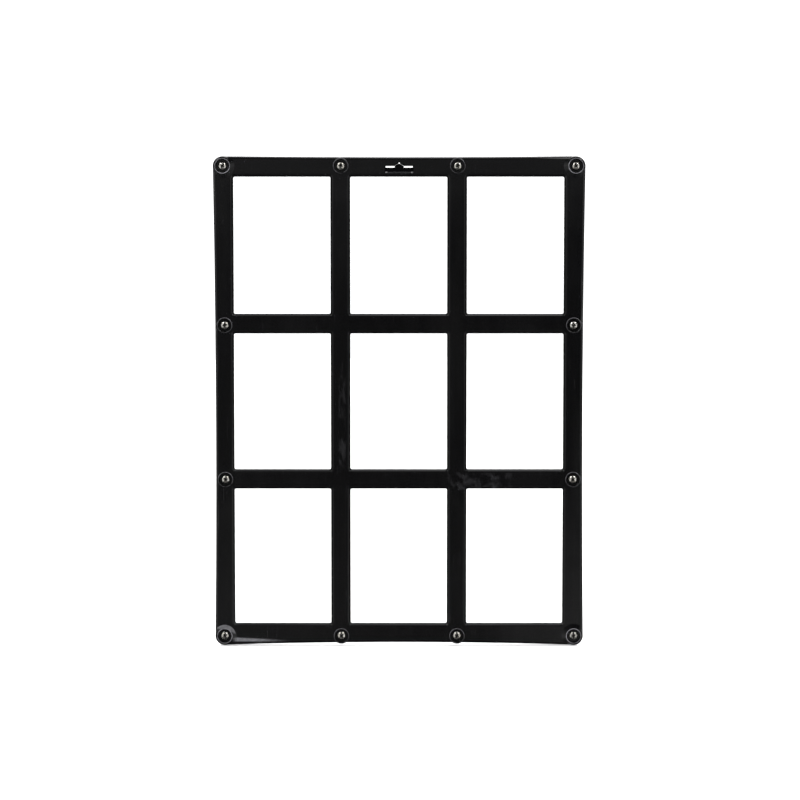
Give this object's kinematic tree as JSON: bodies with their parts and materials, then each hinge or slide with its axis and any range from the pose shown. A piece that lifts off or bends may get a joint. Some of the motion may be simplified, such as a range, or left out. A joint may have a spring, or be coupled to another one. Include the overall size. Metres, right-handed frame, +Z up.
{
  "type": "nine-window wall display frame",
  "caption": "Flat wall-hung display frame: a black moulded grid with bevelled windows and a clear pane, drawn down on a clear back plate by small cross-recess screws.",
  "frame": {"origin": "centre of the flat back face of the back plate, midway between its side edges and midway between its top and bottom edges", "axes": "+Y out of the back face towards the wall, so the front faces -Y; +Z up along the long side, towards the hang slot; +X to the right as the front is looked at"},
  "size_m": [0.2402, 0.008, 0.3174],
  "materials": {
    "black_plastic": "polished moulded black, light scuffs",
    "clear_plastic": "clear cast acrylic sheet, polished faces and sawn, flame-polished edges",
    "plated_steel": "bright nickel plate over steel",
    "insert_brass": "turned and knurled, dull"
  },
  "bodies": {
    "back_plate": {"back_plate": "clear_plastic", "insert_top_1": "insert_brass", "insert_top_2": "insert_brass", "insert_top_3": "insert_brass", "insert_top_4": "insert_brass", "insert_left_upper": "insert_brass", "insert_left_lower": "insert_brass", "insert_right_upper": "insert_brass", "insert_right_lower": "insert_brass", "insert_bottom_1": "insert_brass", "insert_bottom_2": "insert_brass", "insert_bottom_3": "insert_brass", "insert_bottom_4": "insert_brass"},
    "front_frame": {"front_bezel": "black_plastic", "front_pane": "clear_plastic"},
    "screw_top_1": {"screw_top_1": "plated_steel"},
    "screw_top_2": {"screw_top_2": "plated_steel"},
    "screw_top_3": {"screw_top_3": "plated_steel"},
    "screw_top_4": {"screw_top_4": "plated_steel"},
    "screw_left_upper": {"screw_left_upper": "plated_steel"},
    "screw_left_lower": {"screw_left_lower": "plated_steel"},
    "screw_right_upper": {"screw_right_upper": "plated_steel"},
    "screw_right_lower": {"screw_right_lower": "plated_steel"},
    "screw_bottom_1": {"screw_bottom_1": "plated_steel"},
    "screw_bottom_2": {"screw_bottom_2": "plated_steel"},
    "screw_bottom_3": {"screw_bottom_3": "plated_steel"},
    "screw_bottom_4": {"screw_bottom_4": "plated_steel"}
  },
  "joints": [
    {"name": "front_lift", "type": "slide", "parent": "back_plate", "child": "front_frame", "axis": [0, -1, 0], "range_m": [0, 0.004]},
    {"name": "screw_top_1_turn", "type": "hinge", "parent": "front_frame", "child": "screw_top_1", "pos_m": [-0.11355, -0.004, 0.15215], "axis": [0, -1, 0], "range_deg": [0, 2880]},
    {"name": "screw_top_2_turn", "type": "hinge", "parent": "front_frame", "child": "screw_top_2", "pos_m": [-0.0376, -0.004, 0.15215], "axis": [0, -1, 0], "range_deg": [0, 2880]},
    {"name": "screw_top_3_turn", "type": "hinge", "parent": "front_frame", "child": "screw_top_3", "pos_m": [0.0376, -0.004, 0.15215], "axis": [0, -1, 0], "range_deg": [0, 2880]},
    {"name": "screw_top_4_turn", "type": "hinge", "parent": "front_frame", "child": "screw_top_4", "pos_m": [0.11355, -0.004, 0.15215], "axis": [0, -1, 0], "range_deg": [0, 2880]},
    {"name": "screw_left_upper_turn", "type": "hinge", "parent": "front_frame", "child": "screw_left_upper", "pos_m": [-0.1126, -0.004, 0.04995], "axis": [0, -1, 0], "range_deg": [0, 2880]},
    {"name": "screw_left_lower_turn", "type": "hinge", "parent": "front_frame", "child": "screw_left_lower", "pos_m": [-0.1126, -0.004, -0.04995], "axis": [0, -1, 0], "range_deg": [0, 2880]},
    {"name": "screw_right_upper_turn", "type": "hinge", "parent": "front_frame", "child": "screw_right_upper", "pos_m": [0.1126, -0.004, 0.04995], "axis": [0, -1, 0], "range_deg": [0, 2880]},
    {"name": "screw_right_lower_turn", "type": "hinge", "parent": "front_frame", "child": "screw_right_lower", "pos_m": [0.1126, -0.004, -0.04995], "axis": [0, -1, 0], "range_deg": [0, 2880]},
    {"name": "screw_bottom_1_turn", "type": "hinge", "parent": "front_frame", "child": "screw_bottom_1", "pos_m": [-0.11355, -0.004, -0.15215], "axis": [0, -1, 0], "range_deg": [0, 2880]},
    {"name": "screw_bottom_2_turn", "type": "hinge", "parent": "front_frame", "child": "screw_bottom_2", "pos_m": [-0.0376, -0.004, -0.15215], "axis": [0, -1, 0], "range_deg": [0, 2880]},
    {"name": "screw_bottom_3_turn", "type": "hinge", "parent": "front_frame", "child": "screw_bottom_3", "pos_m": [0.0376, -0.004, -0.15215], "axis": [0, -1, 0], "range_deg": [0, 2880]},
    {"name": "screw_bottom_4_turn", "type": "hinge", "parent": "front_frame", "child": "screw_bottom_4", "pos_m": [0.11355, -0.004, -0.15215], "axis": [0, -1, 0], "range_deg": [0, 2880]}
  ],
  "couplings": [
    {"joint": "screw_top_1_turn", "follows": "front_lift", "rad_per_m": 12566},
    {"joint": "screw_top_2_turn", "follows": "front_lift", "rad_per_m": 12566},
    {"joint": "screw_top_3_turn", "follows": "front_lift", "rad_per_m": 12566},
    {"joint": "screw_top_4_turn", "follows": "front_lift", "rad_per_m": 12566},
    {"joint": "screw_left_upper_turn", "follows": "front_lift", "rad_per_m": 12566},
    {"joint": "screw_left_lower_turn", "follows": "front_lift", "rad_per_m": 12566},
    {"joint": "screw_right_upper_turn", "follows": "front_lift", "rad_per_m": 12566},
    {"joint": "screw_right_lower_turn", "follows": "front_lift", "rad_per_m": 12566},
    {"joint": "screw_bottom_1_turn", "follows": "front_lift", "rad_per_m": 12566},
    {"joint": "screw_bottom_2_turn", "follows": "front_lift", "rad_per_m": 12566},
    {"joint": "screw_bottom_3_turn", "follows": "front_lift", "rad_per_m": 12566},
    {"joint": "screw_bottom_4_turn", "follows": "front_lift", "rad_per_m": 12566}
  ]
}
